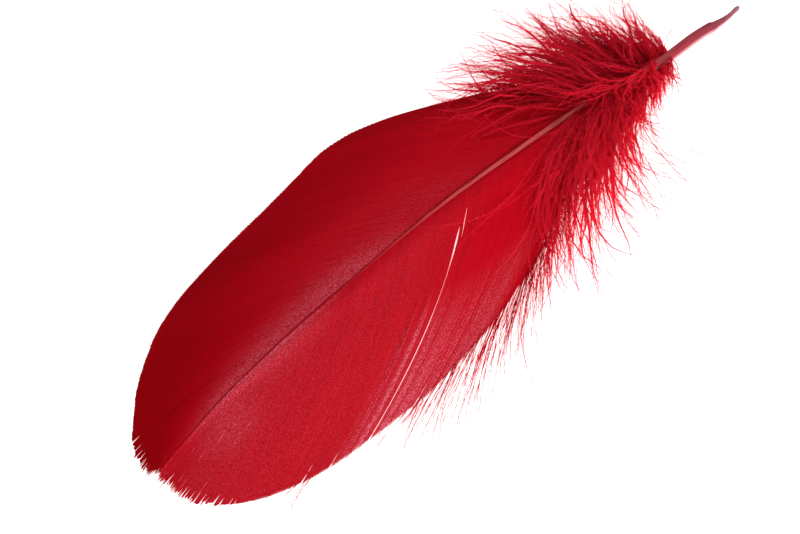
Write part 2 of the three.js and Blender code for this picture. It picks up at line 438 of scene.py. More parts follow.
def barb_material(settings):
    """Dyed goose keratin, woven of barbs: satin, with a painted sheen of fine pink grains and lines
    where the barbules' faces would catch the light, and streaks from barb to barb where the dye took
    unevenly, with painted shade and light among them."""
    material, tree = new_material("dyed_feather_barbs")
    tone, across, silk, reach = (
        add(tree, "ShaderNodeAttribute", out="Fac", attribute_name=name)
        for name in ("tone", "across", "silk", "reach")
    )
    where = add(tree, "ShaderNodeTexCoord", out="Object")
    streak_and_shade = add(tree, "ShaderNodeMapRange", {"Value": tone, "From Min": -1.0, "From Max": 1.0})
    dark, light, silky = (*settings.vane_dark, 1), (*settings.vane_light, 1), (*settings.vane_silk, 1)
    dyed = add(tree, "ShaderNodeMix", {"Factor": streak_and_shade, 6: dark, 7: light}, 2, data_type="RGBA")
    glints = add(
        tree, "ShaderNodeTexNoise", {"Vector": where, "Scale": 1 / (GLINT_SIZE * MM), "Detail": 2.0}
    )
    grain = add(
        tree, "ShaderNodeMapRange",
        {"Value": glints, "From Min": 0.45, "From Max": 0.65, "To Min": 0.0, "To Max": 0.52},
    )
    # The painted sheen also runs along the barbs' ribs, as fine lighter lines.
    off_rib = add(tree, "ShaderNodeMath", {0: across}, operation="ABSOLUTE")
    painted_shine = add(tree, "ShaderNodeMath", {0: 1.0, 1: off_rib}, operation="SUBTRACT")
    for operation, value in (("POWER", 3.0), ("MULTIPLY", 0.3), ("ADD", grain), ("MULTIPLY", silk)):
        painted_shine = add(tree, "ShaderNodeMath", {0: painted_shine, 1: value}, operation=operation)
    colour = add(tree, "ShaderNodeMix", {"Factor": painted_shine, 6: dyed, 7: silky}, 2, data_type="RGBA")

    # Barbules slant forward from both sides of the rib, so their phase grows along and away from it.
    shift = add(tree, "ShaderNodeMath", {0: tone, 1: 9.0}, operation="MULTIPLY")
    relief = off_rib
    for operation, value in (
        ("MULTIPLY", BARBULE_SLANT), ("ADD", reach), ("DIVIDE", BARBULE_PITCH), ("ADD", shift),
        ("MULTIPLY", 2 * math.pi), ("SINE", 0.0), ("MULTIPLY", 0.3), ("ADD", glints),
    ):
        relief = add(tree, "ShaderNodeMath", {0: relief, 1: value}, operation=operation)
    bump = add(
        tree, "ShaderNodeBump", {"Strength": 0.6, "Distance": BARB_RELIEF * MM, "Height": relief}
    )
    lustre = add(
        tree, "ShaderNodeMapRange",
        {"Value": glints, "From Min": 0.35, "From Max": 0.65, "To Min": 0.45, "To Max": 0.7},
    )
    shader = add(
        tree, "ShaderNodeBsdfPrincipled",
        {"Base Color": colour, "Roughness": lustre, "IOR": 1.45, "Specular IOR Level": 0.03,
         "Normal": bump},
    )
    add(tree, "ShaderNodeOutputMaterial", {"Surface": shader})
    return material


def down_material(settings):
    """Dyed goose down, grown loose: soft, matt and brighter than the vane, because light passes between
    its fibres."""
    material, tree = new_material("dyed_feather_down")
    tone = add(tree, "ShaderNodeAttribute", out="Fac", attribute_name="tone")
    streak_and_shade = add(tree, "ShaderNodeMapRange", {"Value": tone, "From Min": -1.0, "From Max": 1.0})
    dark, light = (*settings.down_dark, 1.0), (*settings.down_light, 1.0)
    colour = add(tree, "ShaderNodeMix", {"Factor": streak_and_shade, 6: dark, 7: light}, 2, data_type="RGBA")
    shader = add(
        tree, "ShaderNodeBsdfPrincipled",
        {"Base Color": colour, "Roughness": 0.8, "IOR": 1.55, "Specular IOR Level": 0.02,
         "Subsurface Weight": 0.4, "Subsurface Radius": (1.0, 0.15, 0.12),
         "Subsurface Scale": 0.8 * MM},
    )
    add(tree, "ShaderNodeOutputMaterial", {"Surface": shader})
    return material


def shaft_material(settings):
    """Dyed quill keratin, grown smooth: the horn took the dye thinly at the quill, where it is a pale
    mauve pink with darker streaks along it, and deeply towards the tip."""
    material, tree = new_material("dyed_quill_keratin")
    along, painted_side_shade, pale = (
        add(tree, "ShaderNodeAttribute", out="Fac", attribute_name=name)
        for name in ("along", "painted_side_shade", "pale")
    )
    colour = add(tree, "ShaderNodeValToRGB", {"Fac": along}, "Color")
    stops = colour.node.color_ramp.elements
    colours = [
        (0.0, "#A8808A"), (0.02, "#A4606C"), (0.05, "#9C4450"), (0.09, "#B04450"), (0.16, "#B84450"),
        (0.24, "#D85456"), (0.34, "#E86060"), (0.45, "#DE5858"), (0.53, "#CC4044"), (0.6, "#BE2228"),
        (0.68, "#A80C18"), (1.0, "#A00A18"),
    ]
    for stop, (position, dye) in zip(stops, (colours[0], colours[-1])):
        stop.position, stop.color = position, linear(dye)
    for position, dye in colours[1:-1]:
        stops.new(position).color = linear(dye)
    where = add(tree, "ShaderNodeTexCoord", out="Object")
    stretched = add(tree, "ShaderNodeMapping", {"Vector": where, "Scale": (0.12, 1.0, 1.0)})
    streaks = add(
        tree, "ShaderNodeTexNoise",
        {"Vector": stretched, "Scale": 1 / (QUILL_STREAK * MM), "Detail": 3.0},
    )
    darker = add(
        tree, "ShaderNodeMapRange",
        {"Value": streaks, "From Min": 0.4, "From Max": 0.66, "To Min": 0.0, "To Max": 0.5},
    )
    # Real streaks in the horn, plus painted shade on the shaft's sides and edges and a painted highlight
    # strip along the quill's right side.
    sides = add(tree, "ShaderNodeMath", {0: painted_side_shade, 1: darker}, operation="MAXIMUM")
    for share, dye in ((sides, settings.shaft_streak_and_shade), (pale, settings.shaft_highlight)):
        colour = add(
            tree, "ShaderNodeMix", {"Factor": share, 6: colour, 7: (*dye, 1.0)}, 2, data_type="RGBA"
        )
    bump = add(
        tree, "ShaderNodeBump", {"Strength": 0.25, "Distance": QUILL_RELIEF * MM, "Height": streaks}
    )
    shader = add(
        tree, "ShaderNodeBsdfPrincipled",
        {"Base Color": colour, "Roughness": 0.5, "IOR": 1.55, "Specular IOR Level": 0.05,
         "Normal": bump},
    )
    add(tree, "ShaderNodeOutputMaterial", {"Surface": shader})
    return material


# ---------------------------------------------------------------- vanes


BARB_POINTS = 30
PAST_EDGE = 1.004  # where a barb's last point lies, as a share of the barb
SWELL_HEIGHT = 0.26
GUTTER_DEPTH = [0.14, 0.03]  # near the quill, and in the tip half
BARB_JITTER = 0.006  # how far single barbs lie above or below their neighbours
VANE_RIPPLE = 0.035  # how far the vane waves at its edge
KEEL_CLEARANCE = 0.05  # between the barbs' keels and the ground
NICKS = {LEFT: 18, RIGHT: 26}  # fine nicks round the feather's tip
NICKED = {LEFT: (0.89, 0.998), RIGHT: (0.8, 0.998)}  # between these shares of the vane's edge
SPLIT_REACH = 5.0  # barbs that crowd together beside a split
NICK_REACH = 1.2
CLING = 5  # the most barbs that cling together in one point of the ragged tip
RIM = 0.12  # length in mm of a barb's last stretch, which lies square to the vane's edge
OVERLAP = 0.6  # half a barb's width as drawn, which is a little more than half of its share
VANE_SEEDS = {LEFT: 11, RIGHT: 12}
SHEEN_FROM = {LEFT: 92, RIGHT: 114}  # where along the feather the painted sheen beside the shaft starts
# Splits in a vane: (barb, how wide it is in millimetres at each share of the barb).
SPLITS = {
    LEFT: [
        (0.945, [(0.82, 0), (0.9, 0.12), (1, 0.32)]),
        (0.975, [(0.6, 0), (0.8, 0.12), (1, 0.28)]),
    ],
    RIGHT: [
        (0.2735, [(0.03, 0), (0.08, 0.13), (0.15, 0.2), (0.22, 0.13), (0.3, 0)]),
        (0.2785, [(0.17, 0), (0.21, 0.4), (0.25, 0.42), (0.33, 0.17), (0.45, 0.12), (0.6, 0.19),
                  (0.75, 0.18), (0.88, 0.14), (1, 0.2)]),
        (0.185, [(0.9, 0), (0.96, 0.1), (1, 0.2)]),
        (0.875, [(0.8, 0), (0.9, 0.1), (1, 0.3)]),
        (0.365, [(0.9, 0), (0.96, 0.06), (1, 0.16)]),
        (0.43, [(0.87, 0), (0.94, 0.07), (1, 0.2)]),
    ],
}


def tip_share(side, t):
    """The share of the vane's edge, from the base on, at which a barb ends."""
    share = 1 - (1 - t) ** TIP_SPREAD
    return share + (1 - share) * LOW_TIPS[side] * (1 - (1 - t) ** 12)


def barb_places(side, count):
    """Where the barbs' roots are, as shares of the vane's length: closer where their tips fan out."""
    t = np.linspace(0, 1, 1000)
    crowding = np.maximum(1, 0.6 * np.gradient(tip_share(side, t), t))
    reached = np.cumsum(crowding) / crowding.sum()
    return np.interp((np.arange(count) + 0.5) / count, reached, t)


def barb_lines(side, count):
    """The barbs' middle lines before anything moves them, as (barb, point, s y z), with t and w."""
    t = barb_places(side, count)
    w = np.append(np.linspace(0, 1, BARB_POINTS) ** 0.92, PAST_EDGE)
    s = FIRST_BARB_ROOT[side] + (LAST_BARB_ROOT - FIRST_BARB_ROOT[side]) * t
    root = on_shaft(s, side * shaft_diameter(s) * ROOT_ASIDE, 0)[:, :2]
    share = tip_share(side, t)
    tip = spline(VANE_EDGE[side])(share)
    reach = tip - root
    angle = np.arctan2(reach[:, 1], reach[:, 0]) + side * BARB_LEAN
    aim = np.stack([np.cos(angle), np.sin(angle)], -1)
    bend = root + BARB_BEND_AT * np.linalg.norm(reach, axis=1)[:, None] * aim
    w = w[None, :, None]
    plan = (1 - w) ** 2 * root[:, None] + 2 * w * (1 - w) * bend[:, None] + w * w * tip[:, None]
    w, t = w[..., 0], t[:, None]
    height = shaft_height(s)[:, None] * (1 - w**EDGE_FALL) + EDGE_HEIGHT * w**EDGE_FALL
    height += VANE_CROWN * np.sin(math.pi * w) * (1 - t)
    # Towards the tip the vanes swell beside the thinning shaft, which sinks between them.
    s = s[:, None]
    height += SWELL_HEIGHT * fade(s, 40, 80) * fade(s, 171, 146) * hump(w, 0.09, 0.06)
    # Nearer the quill they spring from low on its sides, which leaves a gutter along it.
    height -= np.interp(s, [60, 110], GUTTER_DEPTH) * np.exp(-w / 0.02)
    return np.concatenate([plan, height[..., None]], -1), t, w


def sideways_of(lines, side):
    """For each point, the level direction across its barb towards the feather's tip."""
    along = np.gradient(lines, axis=1)
    across = np.stack([along[..., 1], -along[..., 0], np.zeros(along.shape[:2])], -1) * side
    across /= np.linalg.norm(across, axis=-1, keepdims=True)
    return across


def open_split(lines, across, t, w, place, widths, reach):
    """Parts the barbs at one place, and lets as many as reach on each side crowd together."""
    order = np.arange(len(lines))
    from_split = order - np.floor(np.interp(place, t[:, 0], order)) - 0.5
    opening = np.where(w[0] < widths[0][0], 0, np.clip(through(widths)(w[0]), 0, None))
    if widths[-1][0] < 1:
        opening = np.where(w[0] > widths[-1][0], 0, opening)
    near = np.exp(-np.abs(from_split) / reach)[:, None]
    lines += across * (np.sign(from_split)[:, None] * near * opening / 2)[..., None]
    lines[..., 2] += near**3 * 0.1 * opening * (from_split > 0)[:, None]


def open_splits(rng, lines, side, across, t, w):
    """Opens the vane's long splits, and the fine nicks all round the feather's tip."""
    for place, widths in SPLITS[side]:
        open_split(lines, across, t, w, place, widths, SPLIT_REACH)
    for share in rng.uniform(*NICKED[side], NICKS[side]):
        place = 1 - (1 - share) ** (1 / TIP_SPREAD)
        start = rng.uniform(0.935, 0.975)
        widths = [(start, 0), (1, rng.uniform(0.0, 0.2))]
        open_split(lines, across, t, w, place, widths, NICK_REACH)


def ragged_tips(rng, lines, side, across, t, w):
    """Makes barb ends uneven: near the feather's tip neighbours cling together in points."""
    count = len(lines)
    apex = fade(tip_share(side, t[:, 0]), NICKED[side][0], NICKED[side][0] + 0.1)
    along = np.gradient(lines, axis=1)
    along /= np.linalg.norm(along, axis=-1, keepdims=True)
    length = rng.normal(0, 0.1 + 0.22 * apex) + 0.25 * smooth_noise(rng, count, 30)
    first = 0
    pull = np.zeros(count)
    while first < count:
        size = rng.integers(1, CLING + 1)
        members = np.arange(first, min(first + size, count))
        pull[members] = (members.mean() - members) * rng.uniform(0.02, 0.13)
        length[members] += rng.normal(0, 0.4) * apex[members] + rng.normal(0, 0.08)
        first += size
    end = fade(w, 0.86, 1)
    lines += along * (length * (0.5 + 0.5 * apex))[:, None, None] * end[..., None]
    reach = fade(w, 0.9, 1) ** 1.5
    lines += across * (pull * apex)[:, None, None] * reach[..., None]


def trim_to_edge(lines, side, t):
    """Turns the barbs' last points square to the vane's edge, so that their ends make one smooth line
    up to the ragged tip. Returns how much wider each end has to be to fill that line."""
    share = tip_share(side, t[:, 0])
    rim = spline(VANE_EDGE[side])
    along = rim(np.clip(share + 0.01, 0, 1)) - rim(np.clip(share - 0.01, 0, 1))
    along /= np.linalg.norm(along, axis=1, keepdims=True)
    outwards = np.stack([-along[:, 1], along[:, 0]], -1) * side
    barb = lines[:, -2, :2] - lines[:, -3, :2]
    barb /= np.linalg.norm(barb, axis=1, keepdims=True)
    smooth = fade(share, NICKED[side][0], NICKED[side][0] - 0.03)[:, None]
    lines[:, -1] = lines[:, -2]
    lines[:, -1, :2] += RIM * (smooth * outwards + (1 - smooth) * barb)
    squareness = np.clip(np.sum(barb * outwards, axis=1, keepdims=True), 0.5, 1)
    return smooth / squareness + 1 - smooth


def half_widths(lines, across):
    """Half the distance to the next barb, so that neighbours just cover each other's edges."""
    gap = np.abs(np.sum((lines[1:] - lines[:-1]) * across[:-1], -1))
    gap = np.vstack([gap[:1], gap, gap[-1:]])
    return (gap[1:] + gap[:-1]) / 4


def dye_and_silk(rng, side, lines, t, w):
    """How light each point of the barbs is, from -1 to 1, from uneven dye and painted shade and light,
    and how much painted sheen it takes.
    """
    count = len(lines)
    uneven = 0.55 if side == LEFT else 1.0
    tone = uneven * (0.13 * rng.normal(0, 1, count) + 0.22 * smooth_noise(rng, count, 30))[:, None]
    s = lines[:, :1, 0]
    from_shaft = w * np.linalg.norm(lines[:, -1] - lines[:, 0], axis=-1)[:, None]
    basal = fade(s, 112, 82)
    # Painted shade in the gutter beside the shaft, nearer the quill.
    tone = tone - 0.5 * basal * np.exp(-from_shaft / 0.35)
    # Painted sheen: pink highlights along the shaft in the tip half, and in places on the right.
    tipward = fade(s, SHEEN_FROM[side], SHEEN_FROM[side] + 18)
    before_tip = fade(s, 164, 148)
    silk = 1.2 * tipward * before_tip * hump(w, 0, np.interp(s, [92, 125], [0.1, 0.24]))
    # Short dashes of painted sheen near the tip, on single barbs.
    sheen_fleck = (rng.random(count) < 0.22)[:, None] * fade(s, 128, 136)
    sheen_fleck = sheen_fleck * hump(w, rng.uniform(0.45, 0.97, (count, 1)), 0.035)
    if side == LEFT:
        # Painted shade and light: the left vane is lighter beside the shaft, darker over its outer half,
        # and a little lighter nearer the quill.
        outwards = np.interp(w, [0, 0.3, 0.8, 1], [0.35, 0.3, -0.8, -0.85])
        tone += outwards * np.interp(s, [70, 115], [0.4, 1.2]) + 0.3 * basal
        silk = 0.7 * silk + 0.8 * sheen_fleck * fade(s, 160, 165)
        silk += 0.15 * np.interp(s, [66, 80, 105, 120], [0, 1, 1, 0]) * hump(w, 0, 0.35)
        return tone, silk
    # On the right, lighter towards the shaft, with a painted highlight right beside it in the tip half.
    highlight_at_shaft = tipward * np.exp(-from_shaft / 1.5)
    tone += 0.6 * (1 - w) - 0.1 + 0.9 * highlight_at_shaft
    silk = 0.35 * silk + 1.8 * before_tip * highlight_at_shaft
    silk += 0.17 * np.interp(s, [70, 95, 140, 155], [0.0, 0.8, 1, 0.4]) * fade(from_shaft, 0, 5)
    silk += 0.35 * hump(lines[..., 0], 154, 7) * hump(lines[..., 1], -4.5, 4.5)
    silk += 0.9 * fade(s, 163, 165) * np.exp(-from_shaft / 0.6)
    # Painted sheen on some barbs beside the long split.
    split_sheen = (rng.random(count) < 0.4)[:, None] * hump(t, 0.31, 0.035)
    silk += 0.9 * sheen_fleck + 0.8 * split_sheen * fade(w, 0.4, 0.6)
    # Painted sheen in patches on the outer half of the right vane's lower barbs.
    outer = np.interp(t, [0.02, 0.1, 0.27, 0.38], [0, 1, 1, 0])
    silk += outer * np.interp(w, [0.45, 0.8, 1], [0, 0.8, 1.2]) * rng.uniform(0.1, 1.2, (count, 1))
    # A painted shadow line across the right vane, where overlapping barbs would cast one.
    tone -= 1.3 * hump(t, 0.345, 0.004) * hump(w, 0.56, 0.12)
    return tone, silk


def make_vane(side, settings, material, tree):
    rng = np.random.default_rng(VANE_SEEDS[side])
    lines, t, w = barb_lines(side, settings.barbs)
    across = sideways_of(lines, side)
    widths = half_widths(lines, across)
    open_splits(rng, lines, side, across, t, w)
    ragged_tips(rng, lines, side, across, t, w)
    wider = trim_to_edge(lines, side, t)
    count = len(lines)
    lines[..., 2] += BARB_JITTER * rng.normal(0, 1, count)[:, None] * np.sin(math.pi * w)
    lines[..., 2] += VANE_RIPPLE * smooth_noise(rng, count, 9)[:, None] * w
    # The right vane's barbs narrow at their tips, and all widen where they leave the shaft.
    end = np.interp(tip_share(side, t), [0.1, 0.3], [0.6, 0.85]) if side == RIGHT else 1.05
    taper = np.interp(w, [0, 0.96, 1], [0, 0, 1])
    girth = widths / (settings.barb_width / MM / 2) * (1 - (1 - end) * taper + np.exp(-w / 0.05))
    girth[:, -1:] *= wider
    lowest = girth * settings.keel_depth / MM + KEEL_CLEARANCE
    lines[..., 2] = np.maximum(lines[..., 2], lowest)
    tone, silk = dye_and_silk(rng, side, lines, t, w)
    roll = rng.normal(0, 0.03, count)[:, None]
    steps = np.linalg.norm(np.diff(lines, axis=1, prepend=lines[:, :1]), axis=-1)
    piece = guide_lines(
        f"vane_{SIDE_NAMES[side]}_barbs", lines, girth=girth, roll=roll,
        reach=np.cumsum(steps, axis=1), tone=np.clip(tone, -1, 1), silk=silk,
    )
    grow(piece, tree, {
        "Half Width": settings.barb_width * OVERLAP, "Rib Height": settings.rib_height,
        "Keel Depth": settings.keel_depth, "Shelf Lift": -side * settings.shelf_lift,
        "Material": material,
    })
    map_from_above(piece)
    declare(piece, f"vane_{SIDE_NAMES[side]}")


# ---------------------------------------------------------------- down


DOWN_FROM = 22.8  # where on the shaft the first down grows
TUFT_STRANDS = {LEFT: 7, RIGHT: 6}  # strands in each tuft
COVERING_TUFTS = 32
COVERING_STRANDS = 5  # strands in each covering tuft
STRAYS = 22
EXTRA_UNDERCOAT = {LEFT: 90, RIGHT: 0}  # strands that the denser left side has more
RIGHT_LIGHTER = 0.42  # the right side's down took less dye
THINNING = 0.92  # share of its girth that a strand loses towards its end
DOWN_SEED = 21
BARBULE_SEED = 3


def draw_strands(rng, roots, angle, turn, rise, fall, length, points, waver):
    """Curved strands as (strand, point, s y z). Each sets out from its root at an angle in plan and a
    rise, in degrees, turns steadily on its way and ends at the fall; waver is how much it wanders."""
    count = len(roots)
    u = (np.arange(points - 1) + 0.5) / (points - 1)
    phase = rng.random((count, 2))
    waves = rng.uniform(1.0, 2.6, (count, 2))
    wander = waver * np.sin(2 * math.pi * (waves[:, :1] * u + phase[:, :1])) * (0.3 + u)
    wander += 2.5 * waver * rng.normal(0, 1, (count, 1)) * u**3
    heading = np.radians(angle[:, None] + turn[:, None] * u + wander)
    climb = rise[:, None] * (1 - u) + fall[:, None] * u
    climb = np.radians(climb + 0.5 * waver * np.sin(2 * math.pi * (waves[:, 1:] * u + phase[:, 1:])))
    step = (length / (points - 1))[:, None, None]
    level = np.cos(climb)
    steps = np.stack([level * np.cos(heading), level * np.sin(heading), np.sin(climb)], -1)
    grown = np.cumsum(steps * step, axis=1)
    lines = roots[:, None] + np.concatenate([np.zeros((count, 1, 3)), grown], 1)
    low = lines[..., 2] < LYING
    lines[low, 2] = LYING * np.exp(np.clip(lines[low, 2] / LYING - 1, -3, 0))
    return lines


def flow_at(side, s):
    """The direction, turn and length of the down that grows at s on the shaft."""
    flow = np.array(DOWN_FLOW[side], float)
    return [np.interp(s, flow[:, 0], flow[:, k]) for k in (1, 2, 3)]


def in_tuft(rng, mean, between, within, each):
    """A value for each strand of a tuft, which differs between tufts and within the tuft."""
    return rng.normal(mean, between) + rng.normal(0, within, each)


def tufted_down(rng, side, tufts):
    """The soft down of one side: tufts of strands that flow from the shaft as DOWN_FLOW says."""
    lines = []
    each = TUFT_STRANDS[side]
    roots = DOWN_FROM + 25.4 * np.linspace(0, 1, tufts) ** 0.75 + rng.uniform(-0.4, 0.4, tufts)
    for root in roots:
        s = np.clip(root + rng.normal(0, 0.7, each), DOWN_FROM, 48.5)
        places = on_shaft(s, side * shaft_diameter(s) * 0.3, rng.uniform(-0.7, 0.5, each))
        angle, turn, length = flow_at(side, s)
        angle += in_tuft(rng, 0, 5, 6, each)
        turn += in_tuft(rng, 0, 10, 16, each)
        length *= rng.uniform(0.9, 1.1) * (1.08 - 0.6 * rng.random(each) ** 2)
        rise, fall = in_tuft(rng, 9, 10, 6, each), in_tuft(rng, -22, 8, 6, each)
        lines.append(draw_strands(rng, places, angle, turn, rise, fall, length, 16, 13.0))
    return np.concatenate(lines)


def single_strands(rng, side, places, spread, lengths, rise, fall, points, waver):
    """Strands that leave the shaft one by one and flow as DOWN_FLOW says, give or take a spread of
    angle and turn. lengths are shares of the flow's; rise and fall are each a mean and a spread."""
    count = len(places)
    angle, turn, length = flow_at(side, places[:, 0])
    angle += rng.normal(0, spread[0], count)
    turn += rng.normal(0, spread[1], count)
    length *= rng.uniform(*lengths, count)
    rise, fall = rng.normal(*rise, count), rng.normal(*fall, count)
    return draw_strands(rng, places, angle, turn, rise, fall, length, points, waver)


def undercoat(rng, side, count):
    """The short dense down next to the shaft, which hides what lies under it."""
    s = DOWN_FROM + 27 * np.linspace(0, 1, count) ** 0.8
    places = on_shaft(s, 0, -rng.uniform(0.3, 1.4, count))
    return single_strands(rng, side, places, (9, 16), (0.3, 1.0), (-2, 8), (-15, 7), 12, 14.0)


def wisps(rng, side, count):
    """Nearly bare strands that reach out of the down and curl."""
    places = on_shaft(rng.uniform(23, 49, count), 0, rng.uniform(-0.5, 0.5, count))
    return single_strands(rng, side, places, (12, 65), (0.8, 1.25), (10, 10), (-20, 8), 18, 20.0)


def covering_down(rng):
    """Short curled tufts that stand up from the shaft and fall over it and the vanes' first barbs."""
    lines = []
    each = COVERING_STRANDS
    roots = np.linspace(23, 43.5, COVERING_TUFTS) + rng.uniform(-0.4, 0.4, COVERING_TUFTS)
    for root in roots:
        s = np.clip(root + rng.normal(0, 0.5, each), DOWN_FROM, 44)
        aside = rng.choice((-1, 1)) * shaft_diameter(s) * 0.35
        places = on_shaft(s, aside, rng.uniform(0, 0.8, each))
        middle = np.interp(root, [23, 29, 36, 43], [-40, -20, 15, 20])
        spread = np.interp(root, [23, 30], [14, 38])
        angle, turn = in_tuft(rng, middle, spread, 6, each), in_tuft(rng, 0, 60, 14, each)
        length = rng.uniform(5, 18) * rng.uniform(0.6, 1.1, each)
        rise = rng.uniform(20, 55) + rng.normal(0, 6, each)
        fall = rng.uniform(-50, -15) + rng.normal(0, 6, each)
        lines.append(draw_strands(rng, places, angle, turn, rise, fall, length, 13, 16.0))
    return np.concatenate(lines)


def edge_hairs(rng, count):
    """The loose barbs: long bare hairs that slip out from under the right vane's edge and fan out."""
    barbs, t, _ = barb_lines(RIGHT, 200)
    # Most leave the outermost barbs along their way, and the others leave the ends of the next ones.
    outermost = rng.random(count) < 0.6
    far = rng.random(count) < 0.16
    left_at = np.where(far, rng.uniform(0.3, 0.75, count), 0.3 * rng.random(count) ** 1.1)
    edge = np.searchsorted(tip_share(RIGHT, t[:, 0]), left_at)
    first = np.where(outermost, rng.integers(0, 3, count), edge)
    on_the_way = rng.integers(5, BARB_POINTS - 6, count)
    at_end = rng.integers(BARB_POINTS - 5, BARB_POINTS - 1, count)
    at = np.where(outermost, on_the_way, at_end)
    part = rng.random((count, 1))
    roots = part * barbs[first, at] + (1 - part) * barbs[first, at - 1]
    along = barbs[first, at + 1] - barbs[first, at - 1]
    angle = np.degrees(np.arctan2(along[:, 1], along[:, 0]))
    slope = np.degrees(np.arctan2(along[:, 2], np.linalg.norm(along[:, :2], axis=1)))
    roots[:, 2] -= rng.uniform(0.15, 0.5, count)
    share = fade(roots[:, 0], 62, 124)
    lean = np.interp(share, [0, 0.42, 0.53, 0.66, 0.81, 1], [-54, -50, -40, -27, -16, -12])
    lean += rng.normal(0, 9, count)
    angle += (lean - angle) * 0.25
    turn = (lean - angle) * rng.uniform(0.3, 1.3, count)
    length = np.interp(share, [0, 0.3, 0.5, 0.7, 0.85, 1], [28, 38, 36, 30, 22, 17])
    length *= 1 - 0.7 * rng.random(count) ** 1.2
    fall = rng.normal(-2, 3, count)
    return draw_strands(rng, roots, angle, turn, slope - 2, fall, length, 14, 2.5)


def stray_lines(rng):
    """A few very long strands that curl away from the down on the right, back towards the quill."""
    roots = on_shaft(rng.uniform(34, 48, STRAYS), -1.0, -0.3)
    angle = rng.uniform(-66, -46, STRAYS)
    turn = -rng.uniform(25, 140, STRAYS)
    length = rng.uniform(32, 50, STRAYS)
    rise, fall = rng.normal(4, 6, STRAYS), rng.normal(-10, 5, STRAYS)
    return draw_strands(rng, roots, angle, turn, rise, fall, length, 22, 9.0)


# Each kind of down: how thick its strands are, how late they thin out, how many times wider than thick
# they are, the length, spacing in millimetres and splay of its barbules, and how light the kind is.
LOOKS = {
    "tufts": (1.7, 1.7, 1.0, 0.95, 0.2, 0.7, 0.18),
    "undercoat": (1.7, 1.5, 5.0, 1.1, 0.34, 0.8, 0.05),
    "covering": (1.2, 1.3, 2.5, 0.6, 0.14, 0.7, 0.6),
    "wisps": (1.3, 1.5, 1.0, 0.4, 0.3, 0.6, 0.3),
    "hairs": (1.3, 5.0, 1.0, 0.1, 6.0, 0.4, -0.5),
    "strays": (1.5, 3.0, 1.0, 0.12, 1.2, 0.5, -0.4),
}


def make_down(name, node, lines, rng, settings, material, tree, kind):
    girth, taper, flat, plume, spacing, splay, tone = LOOKS[kind]
    count, points = lines.shape[:2]
    u = np.linspace(0, 1, points)[None]
    length = np.interp(u, [0, 0.15, 0.45, 0.75, 1], [0.5, 1, 0.9, 0.45, 0.06])
    twist = 0.25 if flat > 1 else 0.0
    if node == "down_right":
        tone += RIGHT_LIGHTER
    piece = guide_lines(
        name, lines,
        girth=girth * (1 - THINNING * u**taper) * rng.uniform(0.75, 1.25, (count, 1)),
        plume=plume * length * rng.uniform(0.7, 1.2, (count, 1)),
        # Each strand is lighter towards its end: painted shade deeper in the down, near the shaft.
        tone=np.clip(rng.normal(tone, 0.2, (count, 1)) + 0.4 * u, -1, 1),
        roll=twist * rng.normal(0, 1, (count, 1)) + twist * rng.normal(0, 2, (count, 1)) * u,
    )
    grow(piece, tree, {
        "Stem Radius": settings.stem_radius, "Barbule Spacing": spacing * MM,
        "Barbule Length": settings.barbule_length, "Barbule Radius": settings.barbule_radius,
        "Splay": splay, "Seed": BARBULE_SEED, "Material": material,
        "Stem Sides": 4 if flat > 1 else 3, "Flatness": flat,
    })
    lie_on_ground(piece)
    map_from_above(piece)
    declare(piece, node)


def lie_on_ground(piece):
    """Lifts what would pass through the ground onto it."""
    places = points_of(piece.data)
    places[:, 2] = np.maximum(places[:, 2], GROUND_GAP * MM)
    piece.data.vertices.foreach_set("co", places.ravel())


# ---------------------------------------------------------------- shaft


SHAFT_SIDES = 28
SHAFT_RINGS = 240
SHEATH_AT = 8.4  # where the sheath's torn edge lies
SHEATH_STEP = 0.16  # how far it stands out, as a share of the quill's radius
FURROW_DEPTH = 0.3  # as a share of the rachis's radius


